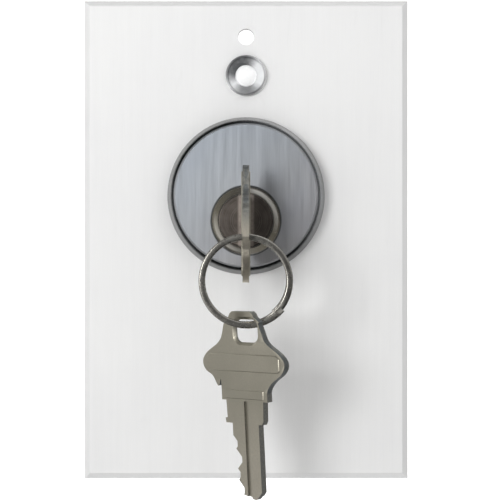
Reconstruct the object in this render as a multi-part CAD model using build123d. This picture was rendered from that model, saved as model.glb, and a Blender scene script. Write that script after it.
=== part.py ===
from build123d import *
import math
import os

# Selector key switch on a wall plate: a threaded lock cylinder with a key, an indicator
# lamp above it, two contact blocks behind the plate, and a spare key on a ring.
# Frame: origin at the centre of the plate's back face (the wall plane y = 0),
# +X to the right and +Z up as seen from the room, +Y into the wall. Millimetres.

SIDES = (-1, 1)             # left, right (or lower, upper)

# face plate
plate_w = 77.4
plate_h = 114.3
plate_t = 3.0
plate_bevel = 1.4
plate_front = -plate_t
plate_hole_r = 14.85
fix_spacing = 96.8          # between the two mounting holes
fix_r = 1.9

# indicator lamp
lamp_z = 39.1
lamp_hole_r = 4.0
lamp_barrel_r = 3.94
lamp_barrel_y1 = 8.4
lamp_bore_r = 3.05          # wide bore behind the lens seat
lamp_seat_y = 5.6
bezel_r = 4.85
bezel_face = plate_front - 1.5
bezel_back = plate_front - 0.02
lens_r = 2.5
lens_rim_y = plate_front - 0.2
lens_dome_h = 1.6
lens_flange_r = 2.95
lens_back = 6.7
nut_corner_r = 5.8
nut_chamfer_r = 5.35
nut_chamfer = 0.4
nut_y0 = 0.02
nut_y1 = 2.6
lead_x = 1.27
lead_r = 0.27
wire_r = 0.7

# lock cylinder
cyl_z = 10.4
head_r = 17.1
head_y0 = -8.5
head_y1 = -6.0
head_chamfer = 0.45
barrel_r = 14.65
barrel_y1 = 20.0
barrel_chamfer = 0.5
thread_y0 = -2.6
thread_pitch = 0.794
thread_depth = 0.38
load_flat = 14.0            # milled flat along the top, from the cylinder axis

# plug with its keyway
plug_z = 4.45
plug_r = 6.35
plug_bore_r = 6.38
plug_y0 = -7.7
plug_y1 = 20.4
sink_r = 8.25               # mouth of the cone around the plug face
slot_w = 1.7
slot_lo = -5.35             # keyway bottom and top, from the plug axis
slot_hi = 3.6
slot_y1 = 18.6
ward_x = -0.52              # right face of the ward

# pin chambers
pin_first = 4.7             # from the plug face to the first chamber
pin_pitch = 3.5
pin_r = 1.42
pin_nose_r = 0.52           # flat end of a bottom pin
chamber_r = 1.475
cut_depths = [1.3, 2.6, 1.8, 2.9]
pin_steps = [pin_first + i * pin_pitch for i in range(len(cut_depths))]
pin_ys = [plug_y0 + step for step in pin_steps]
pin_top = plug_z + 6.15
driver_z0 = plug_z + 6.42
driver_z1 = driver_z0 + 5.0
driver_step_z = driver_z1 - 1.4
driver_stem_r = 0.85
cap_top = cyl_z + load_flat - 0.15
cap_bottom = cap_top - 1.0
pin_spring_gap = 0.22       # wire centre to the faces it presses on

# key
key_t = 1.5
key_shoulder = 25.4         # bow and neck, down to the shoulder
key_blade = 17.1
key_blade_h = 8.6
key_mid = -0.95             # blade centre, from the plug axis
key_top = key_blade_h / 2
cut_flat = 0.62             # half width of a cut's floor
band_rise = 0.28
hub_rise = 0.2
hole_u = -1.25              # key ring hole centre, across and along the bow
hole_v = 4.4
hole_across = 7.0
hole_along = 5.2
hole_corner = 1.8
hole_chamfer = 0.65
hole_over = 0.05            # flare cut runs past the face

# key ring and the spare key on it
ring_mid_r = 9.9
ring_radial = 1.5
ring_axial = 2.2
ring_corner = 0.5
ring_y = -28.8
ring_top_z = 0.45           # ring section centre in the inserted key's hole
ring_cz = ring_top_z - ring_mid_r
spare_turn = 47.0           # turned about the vertical
spare_lean = 3.0            # tip leaning in towards the plate, about the key's own width
spare_roll = -0.5           # and swung a little to the right
spare_wire_v = 3.05         # ring section centre, along and across the spare key
spare_wire_u = -0.8

# trim collar and spring washer
collar_base_r = 18.75
collar_front_r = 17.75
collar_front_y = -8.15
collar_back_y = plate_front - 0.03
collar_bore_r = 17.17
collar_web_y0 = head_y1 + 0.04
collar_web_y1 = -4.5
collar_web_r = 14.85
collar_recess_r = 17.3
washer_bore_r = 14.95
washer_r = 16.9

# lock ring
lock_bore_r = 14.7
lock_r = 18.3
lock_y1 = 4.8
lock_notches = 6

# bracket
bracket_t = 1.5
bracket_y0 = 0.02
arm_in = 22.5
arm_t = 1.5
arm_out = arm_in + arm_t
arm_y1 = 33.0
base_top = cyl_z + 19.2
tab_z = -9.0
tab_half_w = 11.5
tab_y1 = 29.0
detent_screw_x = -9.2
detent_screw_y = 26.2

# cam on the back of the plug
cam_r0 = 9.5
cam_k = 1.6                 # cam rise in mm per radian of turn
cam_half_deg = 60           # each track reaches this far above and below the X axis
cam_step_deg = 5
cam_y0 = plug_y1 + 0.05
spiral_y1 = 24.0
detent_y1 = 28.8
detent_r = 7.2
notch_r = 1.6
notch_orbit = 8.0
cam_screw_x = 3.4

# contact blocks; x is measured out to each side and z from the plug axis
mech_y = 22.7               # plunger axis depth
plunger_gap = 0.08
plunger_half = 2.5
block_in = 14.9
block_out = arm_in - 0.02
block_h = 24.0
block_y0 = 16.4
block_y1 = 34.0
terminal_z = 6.9
terminal_in = 20.4
terminal_out = 21.2
terminal_t = 0.8
terminal_half_h = 1.5
terminal_gap = 0.06
terminal_screw_x = 18.0
block_screw_z = 10.25
bridge_in = 18.52
bridge_out = 19.1
plunger_spring_gap = 0.26

# detent leaf spring
leaf_half_t = 0.2
leaf_nose_r = 1.25
leaf_nose_z = plug_z - 8.05
leaf_end_x = -11.0
leaf_foot_x = -6.2
leaf_foot_z = tab_z + 0.24
leaf_ease = 0.25            # cut back from the sharp bend at the foot
leaf_arc_steps = 10


# ---------------------------------------------------------------------------
# helpers
# ---------------------------------------------------------------------------
def polygon(points):
    return make_face(Polyline(*points, close=True))


def turned(points, x=0.0, z=0.0):
    """A solid of revolution about an axis along Y through (x, z). points are (radius, y)."""
    return Pos(x, 0, z) * revolve(polygon(points), Axis.Y, 360)


def turned_upright(points, y):
    """A solid of revolution about the vertical through (0, y). points are (radius, z)."""
    return Pos(0, y, 0) * Rot(90, 0, 0) * revolve(polygon(points), Axis.Y, 360)


def rod(r, y0, y1, x=0.0, z=0.0):
    """A round bar along Y."""
    return Pos(x, (y0 + y1) / 2, z) * Rot(90, 0, 0) * Cylinder(r, y1 - y0)


def rod_x(r, x0, x1, y, z):
    return Pos((x0 + x1) / 2, y, z) * Rot(0, 90, 0) * Cylinder(r, abs(x1 - x0))


def rod_z(r, z0, z1, x, y):
    return Pos(x, y, (z0 + z1) / 2) * Cylinder(r, z1 - z0)


def block(x0, x1, y0, y1, z0, z1):
    centre = Pos((x0 + x1) / 2, (y0 + y1) / 2, (z0 + z1) / 2)
    return centre * Box(abs(x1 - x0), abs(y1 - y0), abs(z1 - z0))


def slab_xz(face, y0, y1):
    """A flat plate from y0 to y1; the face is drawn as (x, z)."""
    return Pos(0, y1, 0) * Rot(90, 0, 0) * extrude(face, y1 - y0)


def wire_along(path, r):
    return sweep(Plane(origin=path @ 0, z_dir=path % 0) * Circle(r), path=path)


def coil(height, turns, radius, r):
    return wire_along(Helix(pitch=height / turns, height=height, radius=radius), r)


def edges_at(edges, axis, place):
    return edges.filter_by_position(axis, place - 0.01, place + 0.01)


def one(shape):
    """The largest solid of a result."""
    return max(shape.solids(), key=lambda s: s.volume)


# ---------------------------------------------------------------------------
# face plate
# ---------------------------------------------------------------------------
def face_plate():
    plate = block(-plate_w / 2, plate_w / 2, plate_front, 0, -plate_h / 2, plate_h / 2)
    plate = chamfer(edges_at(plate.edges(), Axis.Y, plate_front), plate_bevel)
    plate -= rod(plate_hole_r, plate_front - 1, 1, 0, cyl_z)
    plate -= rod(lamp_hole_r, plate_front - 1, 1, 0, lamp_z)
    for side in SIDES:
        plate -= rod(fix_r, plate_front - 1, 1, 0, side * fix_spacing / 2)
    return one(plate)


# ---------------------------------------------------------------------------
# indicator lamp
# ---------------------------------------------------------------------------
def lamp_bezel():
    profile = [             # radius, y
        (2.58, lamp_seat_y), (2.58, plate_front + 0.35),
        (2.95, plate_front + 0.05), (3.45, plate_front - 0.5), (3.9, plate_front - 1.0),
        (4.25, bezel_face + 0.12), (4.45, bezel_face), (4.65, bezel_face + 0.08),
        (bezel_r - 0.04, bezel_face + 0.4), (bezel_r, plate_front - 0.9),
        (bezel_r, bezel_back), (lamp_barrel_r, bezel_back),
        (lamp_barrel_r, lamp_barrel_y1), (lamp_bore_r, lamp_barrel_y1),
        (lamp_bore_r, lamp_seat_y),
    ]
    return one(turned(profile, 0, lamp_z))


def lamp_lens():
    angles = [math.radians(a) for a in range(75, -1, -15)]
    dome = [(lens_r * math.cos(a), lens_rim_y - lens_dome_h * math.sin(a)) for a in angles]
    flange_y = lamp_seat_y + 0.05
    profile = [(0, lens_back), (0, lens_rim_y - lens_dome_h)] + dome
    profile += [(lens_r, flange_y), (lens_flange_r, flange_y), (lens_flange_r, lens_back)]
    return one(turned(profile, 0, lamp_z))


def lamp_nut():
    angles = [math.radians(30 + 60 * i) for i in range(6)]
    corners = [
        (nut_corner_r * math.cos(a), lamp_z + nut_corner_r * math.sin(a)) for a in angles
    ]
    nut = slab_xz(polygon(corners), nut_y0, nut_y1)
    # eases the corners on both faces
    nut &= turned([
        (0, nut_y0), (nut_chamfer_r, nut_y0), (5.85, nut_chamfer),
        (5.85, nut_y1 - nut_chamfer), (nut_chamfer_r, nut_y1), (0, nut_y1),
    ], 0, lamp_z)
    return one(nut - rod(3.99, -1, 4, 0, lamp_z))


def lamp_retainer():
    retainer = turned([
        (0, 6.75), (3.0, 6.75), (3.0, 8.42), (3.9, 8.42), (3.9, 9.2), (3.4, 9.7), (0, 9.7),
    ], 0, lamp_z)
    for side in SIDES:
        retainer -= rod(lead_r + 0.05, 6, 8.3, side * lead_x, lamp_z)
        retainer -= rod(wire_r + 0.08, 8.3, 11, side * lead_x, lamp_z)
    return one(retainer)


def lamp_wire(side):
    path = Spline(
        (side * lead_x, 8.35, lamp_z),
        (side * lead_x, 12.5, lamp_z),
        (side * 1.6, 24, lamp_z - 2.5 + side),
        (side * 3.0, 38, lamp_z - 6 + 2 * side),
        tangents=((0, 1, 0), (0.1 * side, 1, -0.2)),
    )
    return wire_along(path, wire_r)


# ---------------------------------------------------------------------------
# lock cylinder
# ---------------------------------------------------------------------------
def cylinder_body():
    profile = [
        (0, head_y0), (head_r - head_chamfer, head_y0), (head_r, head_y0 + head_chamfer),
        (head_r, head_y1), (barrel_r, head_y1),
    ]
    # the thread is a row of ring grooves
    root_r = barrel_r - thread_depth
    y = thread_y0
    while y + thread_pitch < barrel_y1 - 0.6:
        profile += [(barrel_r, y), (root_r, y + 0.3), (root_r, y + 0.42), (barrel_r, y + 0.72)]
        y += thread_pitch
    profile += [
        (barrel_r, barrel_y1 - barrel_chamfer), (barrel_r - barrel_chamfer, barrel_y1),
        (0, barrel_y1),
    ]
    body = turned(profile, 0, cyl_z)
    body -= rod(plug_bore_r, head_y0 - 1, barrel_y1 + 1, 0, plug_z)
    sink_y = plug_y0 + 0.35
    body -= turned([
        (0, head_y0 - 0.1), (sink_r + 0.1, head_y0 - 0.1), (sink_r, head_y0),
        (plug_bore_r + 0.15, sink_y), (0, sink_y),
    ], 0, plug_z)
    # the flat along the top that the pin chambers are drilled from
    body -= block(-8, 8, -4.3, barrel_y1 + 1, cyl_z + load_flat, cyl_z + barrel_r + 1)
    for pin_y in pin_ys:
        body -= rod_z(chamber_r, plug_z, cyl_z + load_flat + 0.4, 0, pin_y)
    return one(body)


def chamber_cap(pin_y):
    return rod_z(chamber_r - 0.01, cap_bottom, cap_top, 0, pin_y)


def cylinder_plug():
    plug = rod(plug_r, plug_y0, plug_y1, 0, plug_z)
    plug = chamfer(edges_at(plug.edges(), Axis.Y, plug_y0), 0.2)
    plug -= block(
        -slot_w / 2, slot_w / 2, plug_y0 - 1, slot_y1, plug_z + slot_lo, plug_z + slot_hi
    )
    # ward on the left wall of the keyway, matching the key's groove
    ward_mid = plug_z + key_mid
    plug += block(
        -slot_w / 2 - 0.1, ward_x, plug_y0 + 0.25, slot_y1, ward_mid - 0.95, ward_mid + 0.05
    )
    for pin_y in pin_ys:
        plug -= rod_z(chamber_r, plug_z + 0.2, plug_z + plug_r + 1, 0, pin_y)
    for side in SIDES:
        plug -= rod(1.2, 13.6, plug_y1 + 1, side * cam_screw_x, plug_z)
    return one(plug)


def bottom_pin(pin_y, depth):
    """A pin resting in its cut of the inserted key."""
    z0 = plug_z + key_mid + key_top - depth + 0.03
    return turned_upright([
        (0, z0), (pin_nose_r, z0), (pin_r, z0 + pin_r - pin_nose_r), (pin_r, pin_top),
        (0, pin_top),
    ], pin_y)


def driver_pin(pin_y):
    return turned_upright([
        (0, driver_z0), (pin_r - 0.1, driver_z0), (pin_r, driver_z0 + 0.15),
        (pin_r, driver_step_z), (driver_stem_r, driver_step_z), (driver_stem_r, driver_z1),
        (0, driver_z1),
    ], pin_y)


def pin_spring(pin_y):
    z0 = driver_step_z + pin_spring_gap
    z1 = cap_bottom - pin_spring_gap
    return Pos(0, pin_y, z0) * coil(z1 - z0, turns=6, radius=1.17, r=0.17)


# ---------------------------------------------------------------------------
# key: drawn as (v, u), v along it from the bow's end, u across it with the cuts at +u
# ---------------------------------------------------------------------------
# one side of the bow (v, u)
bow_half = [
    (1.3, 4.2), (2.5, 5.6), (4.4, 6.3), (6.4, 7.2), (8.0, 9.3), (9.6, 12.0),
    (11.7, 13.45), (13.8, 12.3), (15.3, 9.9), (16.8, 8.2), (18.4, 7.5),
]
# neck and shoulder (v, u)
neck = [
    (18.4, 7.5), (20.2, 7.5), (20.2, 6.1), (24.3, 5.9), (24.3, 6.6), (key_shoulder, 6.4),
    (key_shoulder, -5.4), (24.6, -5.9), (20.2, -6.1), (20.2, -7.5), (18.4, -7.5),
]
# end of the bow (v, u)
bow_end = [(1.3, -4.2), (0.5, -3.7), (0, -3.0), (0, 3.0), (0.5, 3.7), (1.3, 4.2)]
# raised band across the bow (v, u)
band = [
    (10.4, 12.0), (13.1, 12.0), (13.6, 11.2), (13.6, -11.2),
    (13.1, -12.0), (10.4, -12.0), (9.6, -10.8), (9.6, 10.8),
]
# raised hub between the bow and the blade (v, u)
hub = [(17.8, 6.4), (19.8, 6.4), (19.8, -6.4), (17.8, -6.4)]


def raised(points, rise, bevel):
    """A pad standing proud of both faces of the key."""
    pad = extrude(polygon(points), key_t / 2 + rise, both=True)
    return chamfer(pad.faces().filter_by(Axis.Z).edges(), bevel)


def ring_hole(grow):
    return Pos(hole_v, hole_u) * RectangleRounded(
        hole_along + 2 * grow, hole_across + 2 * grow, hole_corner + grow
    )


def blade_outline():
    start = key_shoulder - 1.0
    end = key_shoulder + key_blade
    cuts = [(key_shoulder + step, depth) for step, depth in zip(pin_steps, cut_depths)]
    first_v, first_depth = cuts[0]
    points = [(start, -key_top), (start, key_top)]
    points.append((first_v - cut_flat - first_depth, key_top))
    for i, (cut_v, depth) in enumerate(cuts):
        floor = key_top - depth
        points += [(cut_v - cut_flat, floor), (cut_v + cut_flat, floor)]
        if i + 1 < len(cuts):
            # the 45 degree slopes of neighbouring cuts meet in a peak
            next_v, next_depth = cuts[i + 1]
            run = (next_v - cut_v - 2 * cut_flat + depth - next_depth) / 2
            points.append((cut_v + cut_flat + run, floor + run))
    last_v, last_depth = cuts[-1]
    return points + [
        (last_v + cut_flat + 0.3, key_top - last_depth + 0.3), (end - 0.5, -key_top + 3.9),
        (end, -key_top + 2.2), (end - 0.4, -key_top + 1.3), (end - 1.8, -key_top),
    ]


def key_solid():
    """The key in its own frame: X thickness, Y along towards the tip, Z across."""
    far_half = [(v, -u) for v, u in reversed(bow_half)]
    lines = [
        Spline(*bow_half, tangents=((0.5, 0.87), (1, 0))),
        Polyline(*neck),
        Spline(*far_half, tangents=((-1, 0), (-0.5, 0.87))),
        Polyline(*bow_end),
    ]
    bow = extrude(make_face(Curve() + lines), key_t / 2, both=True)
    key = bow + raised(band, band_rise, 0.2) + raised(hub, hub_rise, 0.15)
    # ring hole, flared at both faces
    key -= extrude(ring_hole(0), key_t + 1, both=True)
    for side in SIDES:
        key -= loft([
            Pos(0, 0, side * (key_t / 2 - hole_chamfer)) * ring_hole(0),
            Pos(0, 0, side * (key_t / 2 + hole_over)) * ring_hole(hole_chamfer + hole_over),
        ])
    key += extrude(polygon(blade_outline()), key_t / 2, both=True)
    # milled groove on one face and a shallower one on the other
    blade_mid = key_shoulder + key_blade / 2
    key -= Pos(blade_mid - 2.0, -0.45, -key_t / 2) * Box(key_blade + 6.2, 1.4, 1.0)
    key -= Pos(blade_mid + 0.6, -2.9, key_t / 2) * Box(key_blade + 1.0, 1.0, 0.7)
    return Plane(origin=(0, 0, 0), x_dir=(0, 1, 0), z_dir=(1, 0, 0)).location * one(key)


def operating_key(key):
    return one(Pos(0, plug_y0 - key_shoulder - 0.03, plug_z + key_mid) * key)


def key_ring():
    """A closed band with a rounded section, its axis along Y."""
    section = Pos(ring_mid_r, 0) * RectangleRounded(ring_radial, ring_axial, ring_corner)
    return one(Pos(0, ring_y, ring_cz) * revolve(section, Axis.Y, 360))


def spare_key(key):
    """The second key, hanging tip down from the lowest point of the ring."""
    spare = Pos(0, -spare_wire_v, -spare_wire_u) * key
    spare = Plane(origin=(0, 0, 0), x_dir=(0, 1, 0), z_dir=(-1, 0, 0)).location * spare
    hang = Pos(0, ring_y, ring_cz - ring_mid_r)
    swing = Rot(0, spare_roll, 0) * Rot(0, 0, -spare_turn) * Rot(spare_lean, 0, 0)
    return one(hang * swing * spare)


# ---------------------------------------------------------------------------
# trim collar, spring washer and lock ring
# ---------------------------------------------------------------------------
def trim_collar():
    profile = [             # radius, y
        (collar_base_r, collar_back_y), (collar_base_r, collar_back_y - 0.35),
        (collar_front_r + 0.12, collar_front_y + 0.75),
        (collar_front_r - 0.05, collar_front_y + 0.2),
        (collar_front_r - 0.2, collar_front_y), (collar_bore_r + 0.12, collar_front_y),
        (collar_bore_r, collar_front_y + 0.12), (collar_bore_r, collar_web_y0),
        (collar_web_r, collar_web_y0), (collar_web_r, collar_web_y1),
        (collar_recess_r, collar_web_y1), (collar_recess_r, collar_back_y),
    ]
    return one(turned(profile, 0, cyl_z))


def spring_washer():
    return one(turned([
        (washer_bore_r, -4.45), (15.35, -4.45), (washer_r, -3.55), (washer_r, collar_back_y),
        (16.5, collar_back_y), (washer_bore_r, -3.95),
    ], 0, cyl_z))


def lock_ring():
    y0 = bracket_t + 0.04
    ring = turned([
        (lock_bore_r, y0), (lock_r - 0.3, y0), (lock_r, y0 + 0.3), (lock_r, lock_y1 - 0.3),
        (lock_r - 0.3, lock_y1), (lock_bore_r + 0.4, lock_y1), (lock_bore_r, lock_y1 - 0.4),
    ], 0, cyl_z)
    for i in range(lock_notches):
        turn = 360 / lock_notches * i + 30
        x = 18.5 * math.cos(math.radians(turn))
        z = 18.5 * math.sin(math.radians(turn))
        ring -= Pos(x, 3.2, cyl_z + z) * Rot(0, -turn, 0) * Box(2.6, 6, 3.4)
    return one(ring)


# ---------------------------------------------------------------------------
# bracket: a channel open to the back, with a base plate and a tab below
# ---------------------------------------------------------------------------
def switch_bracket():
    outline = [             # x, y
        (-arm_out, arm_y1), (-arm_out, bracket_y0), (arm_out, bracket_y0),
        (arm_out, arm_y1), (arm_in, arm_y1), (arm_in, bracket_t), (-arm_in, bracket_t),
        (-arm_in, arm_y1),
    ]
    channel = Pos(0, 0, plug_z - block_h / 2) * extrude(polygon(outline), block_h)
    for y, bend_r in ((bracket_y0, 1.8), (bracket_t, 0.7)):
        channel = fillet(edges_at(channel.edges().filter_by(Axis.Z), Axis.Y, y), bend_r)
    tab_z0 = tab_z - bracket_t
    base = block(-arm_out + 2, arm_out - 2, bracket_y0, bracket_t, tab_z0, base_top)
    base = chamfer(edges_at(base.edges().filter_by(Axis.Y), Axis.Z, base_top), 6.0)
    tab = block(-tab_half_w, tab_half_w, bracket_y0, tab_y1, tab_z0, tab_z)
    bracket = channel + base + tab
    for side in SIDES:
        for dz in (-block_screw_z, block_screw_z):
            bracket -= rod_x(1.1, side * (arm_in - 1), side * (arm_out + 1), mech_y, plug_z + dz)
    bracket -= rod(plate_hole_r, -1, 3, 0, cyl_z)
    bracket -= rod_z(0.9, tab_z - 3, tab_z + 1, detent_screw_x, detent_screw_y)
    return one(bracket)


# ---------------------------------------------------------------------------
# cam: a spiral track for the plungers and a notched detent track behind it
# ---------------------------------------------------------------------------
def plug_cam():
    right_track = []
    for turn in range(-cam_half_deg, cam_half_deg + 1, cam_step_deg):
        a = math.radians(turn)
        r = cam_r0 + cam_k * a
        right_track.append((r * math.cos(a), plug_z + r * math.sin(a)))
    left_track = [(-x, z) for x, z in reversed(right_track)]
    rise = cam_k * math.radians(cam_half_deg)
    lines = [
        Spline(*right_track),
        ThreePointArc(right_track[-1], (0, plug_z + cam_r0 + rise), left_track[0]),
        Spline(*left_track),
        ThreePointArc(left_track[-1], (0, plug_z - cam_r0 + rise), right_track[0]),
    ]
    spiral = slab_xz(make_face(Curve() + lines), cam_y0, spiral_y1)
    detent = rod(detent_r, spiral_y1 - 0.1, detent_y1, 0, plug_z)
    detent = chamfer(edges_at(detent.edges(), Axis.Y, detent_y1), 0.3)
    for turn in (-135, -90, -45):
        x = notch_orbit * math.cos(math.radians(turn))
        z = notch_orbit * math.sin(math.radians(turn))
        detent -= rod(notch_r, spiral_y1 - 0.05, 30, x, plug_z + z)
    cam = spiral + detent
    for side in SIDES:
        cam -= rod(1.25, 20, 30, side * cam_screw_x, plug_z)
    return one(cam)


def cam_screw(side):
    x = side * cam_screw_x
    head_y = detent_y1 + 0.03
    screw = rod(1.15, 14.0, detent_y1 + 0.05, x, plug_z)
    screw += turned([(0, head_y), (2.3, head_y), (2.3, 29.6), (1.6, 30.3), (0, 30.3)], x, plug_z)
    screw -= block(x - 2.0, x + 2.0, 29.8, 31, plug_z - 0.3, plug_z + 0.3)
    return one(screw)


# ---------------------------------------------------------------------------
# contact blocks with their plungers, bridges, springs and terminals
# ---------------------------------------------------------------------------
def side_block(side, x0, x1, y0, y1, z0, z1):
    return block(side * x0, side * x1, y0, y1, plug_z + z0, plug_z + z1)


def mech_block(side, x0, x1, half_y, half_z):
    """A block centred on the plunger axis."""
    return side_block(side, x0, x1, mech_y - half_y, mech_y + half_y, -half_z, half_z)


def contact_block(side):
    housing = side_block(side, block_in, block_out, block_y0, block_y1, -block_h / 2, block_h / 2)
    housing = chamfer(housing.edges().filter_by(Axis.X), 0.5)
    housing -= mech_block(side, 16.2, arm_in + 1, 4.5, 8.5)
    housing -= mech_block(side, 14, 17, plunger_half + 0.05, plunger_half + 0.05)
    half_h = terminal_half_h + terminal_gap
    for dz in (-terminal_z, terminal_z):
        housing -= side_block(
            side, terminal_in - terminal_gap, terminal_out + terminal_gap,
            mech_y + 4, block_y1 + 1, dz - half_h, dz + half_h,
        )
        housing -= rod(1.22, 28.6, block_y1 + 1, side * terminal_screw_x, plug_z + dz)
    for dz in (-block_screw_z, block_screw_z):
        housing -= rod_x(0.98, side * 17.8, side * (arm_in + 1), mech_y, plug_z + dz)
    # raised barrier between the two terminals
    housing += side_block(side, 15.6, block_out, block_y1 - 0.2, block_y1 + 2.4, -0.8, 0.8)
    return one(housing)


def block_screw(side, dz):
    z = plug_z + dz
    head_x = side * (arm_out + 1.2)
    screw = rod_x(0.95, side * 18.0, side * (arm_out + 0.03), mech_y, z)
    screw += rod_x(1.9, side * (arm_out + 0.02), head_x, mech_y, z)
    screw -= Pos(head_x, mech_y, z) * Box(1.0, 2.8, 0.55)
    return one(screw)


def plunger(side):
    nose_x = cam_r0 + plunger_gap + plunger_half
    shaft = mech_block(side, nose_x, 17.9, plunger_half, plunger_half)
    nose = Rot(90, 0, 0) * Cylinder(plunger_half, 2 * plunger_half)
    shaft = shaft + Pos(side * nose_x, mech_y, plug_z) * nose
    shaft = shaft + mech_block(side, 17.5, 18.5, 3.6, 3.6)
    return one(shaft + rod_x(1.5, side * 18.4, side * 20.6, mech_y, plug_z))


def contact_bridge(side):
    bridge = mech_block(side, bridge_in, bridge_out, 1.9, 8.2)
    bridge = chamfer(bridge.edges().filter_by(Axis.X), 0.4)
    return one(bridge - rod_x(1.54, side * 18, side * 20, mech_y, plug_z))


def plunger_spring(side):
    x0 = bridge_out + plunger_spring_gap
    x1 = arm_in - plunger_spring_gap
    spring = coil(x1 - x0, turns=3, radius=2.0, r=0.22)
    return Pos(side * x0, mech_y, plug_z) * Rot(0, side * 90, 0) * spring


def terminal(side, dz):
    y0 = block_y1 + 0.02
    y1 = y0 + terminal_t
    strip = side_block(
        side, terminal_in, terminal_out, mech_y - 1.9, y1,
        dz - terminal_half_h, dz + terminal_half_h,
    )
    strip += side_block(side, 15.6, terminal_out, y0, y1, dz - 2.6, dz + 2.6)
    strip -= rod(1.3, block_y1 - 1, block_y1 + 2, side * terminal_screw_x, plug_z + dz)
    return one(strip)


def terminal_screw(side, dz):
    """A screw with a cross-slotted head."""
    x = side * terminal_screw_x
    z = plug_z + dz
    head_y = block_y1 + 0.84
    top_y = block_y1 + 2.6
    screw = rod(1.19, 29.0, head_y + 0.02, x, z)
    screw += turned([
        (0, head_y), (2.35, head_y), (2.35, block_y1 + 2.0), (1.9, top_y), (0, top_y),
    ], x, z)
    for half_x, half_z in ((1.7, 0.3), (0.3, 1.7)):
        screw -= block(
            x - half_x, x + half_x, block_y1 + 1.8, block_y1 + 3, z - half_z, z + half_z
        )
    return one(screw)


# ---------------------------------------------------------------------------
# detent leaf spring: its nose sits in the cam's middle notch
# ---------------------------------------------------------------------------
def leaf_edge(offset):
    """One face of the leaf from left to right, offset from its middle line."""
    run = -leaf_foot_x
    climb = leaf_nose_z - leaf_foot_z
    # the straight leg is tangent to the round nose
    leg = math.atan2(climb, run) + math.asin(leaf_nose_r / math.hypot(run, climb))
    start = leg + math.pi / 2
    left = [
        (leaf_end_x, leaf_foot_z + offset),
        (leaf_foot_x - leaf_ease, leaf_foot_z + offset),
        (leaf_foot_x + offset * math.cos(start) + leaf_ease * math.cos(leg),
         leaf_foot_z + offset * math.sin(start) + leaf_ease * math.sin(leg)),
    ]
    r = leaf_nose_r + offset
    nose = []
    for i in range(leaf_arc_steps + 1):
        a = start + (math.pi / 2 - start) * 2 * i / leaf_arc_steps
        nose.append((r * math.cos(a), leaf_nose_z + r * math.sin(a)))
    return left + nose + [(-x, z) for x, z in reversed(left)]


def detent_spring():
    outline = leaf_edge(leaf_half_t) + leaf_edge(-leaf_half_t)[::-1]
    leaf = slab_xz(polygon(outline), 24.2, 28.4)
    return one(leaf - rod_z(0.95, tab_z - 1, tab_z + 2, detent_screw_x, detent_screw_y))


def detent_screw():
    x, y = detent_screw_x, detent_screw_y
    screw = rod_z(0.85, tab_z - bracket_t - 1.4, tab_z + 0.5, x, y)
    screw += rod_z(1.6, tab_z + 0.46, tab_z + 1.4, x, y)
    screw -= block(x - 1.4, x + 1.4, y - 0.25, y + 0.25, tab_z + 1.0, tab_z + 2)
    return one(screw)


# ---------------------------------------------------------------------------
# all pieces; a list becomes one file with several solids
# ---------------------------------------------------------------------------
base_key = key_solid()
parts = {
    "face_plate": face_plate(),
    "lamp_bezel": lamp_bezel(),
    "lamp_lens": lamp_lens(),
    "lamp_nut": lamp_nut(),
    "lamp_retainer": lamp_retainer(),
    "lamp_leads": [rod(lead_r, 6.72, 8.28, side * lead_x, lamp_z) for side in SIDES],
    "lamp_wires": [lamp_wire(side) for side in SIDES],
    "cylinder_body": cylinder_body(),
    "chamber_caps": [chamber_cap(y) for y in pin_ys],
    "cylinder_plug": cylinder_plug(),
    "operating_key": operating_key(base_key),
    "bottom_pins": [bottom_pin(y, depth) for y, depth in zip(pin_ys, cut_depths)],
    "driver_pins": [driver_pin(y) for y in pin_ys],
    "pin_springs": [pin_spring(y) for y in pin_ys],
    "trim_collar": trim_collar(),
    "spring_washer": spring_washer(),
    "lock_ring": lock_ring(),
    "switch_bracket": switch_bracket(),
    "plug_cam": plug_cam(),
    "cam_screws": [cam_screw(side) for side in SIDES],
    "terminal_screws": [terminal_screw(s, i * terminal_z) for s in SIDES for i in SIDES],
    "block_screws": [block_screw(s, i * block_screw_z) for s in SIDES for i in SIDES],
    "detent_spring": detent_spring(),
    "detent_screw": detent_screw(),
    "key_ring": key_ring(),
    "spare_key": spare_key(base_key),
}
for name, side in (("left", -1), ("right", 1)):
    parts["contact_block_" + name] = contact_block(side)
    parts["plunger_" + name] = plunger(side)
    parts["contact_bridge_" + name] = contact_bridge(side)
    parts["plunger_spring_" + name] = plunger_spring(side)
    parts["terminals_" + name] = [terminal(side, i * terminal_z) for i in SIDES]

os.makedirs("parts", exist_ok=True)
for name, shape in parts.items():
    if isinstance(shape, list):
        shape = Compound(children=[one(item) for item in shape])
    export_step(shape, "parts/" + name + ".step")
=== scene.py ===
# Key switch with an indicator lamp: a steel face plate with a lock cylinder below the lamp,
# a key in the lock, a spare key on a split ring, and the contact blocks behind the plate.
# Metres. X is right, Z is up and the plate's front faces -Y, towards the camera.
import math

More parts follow.
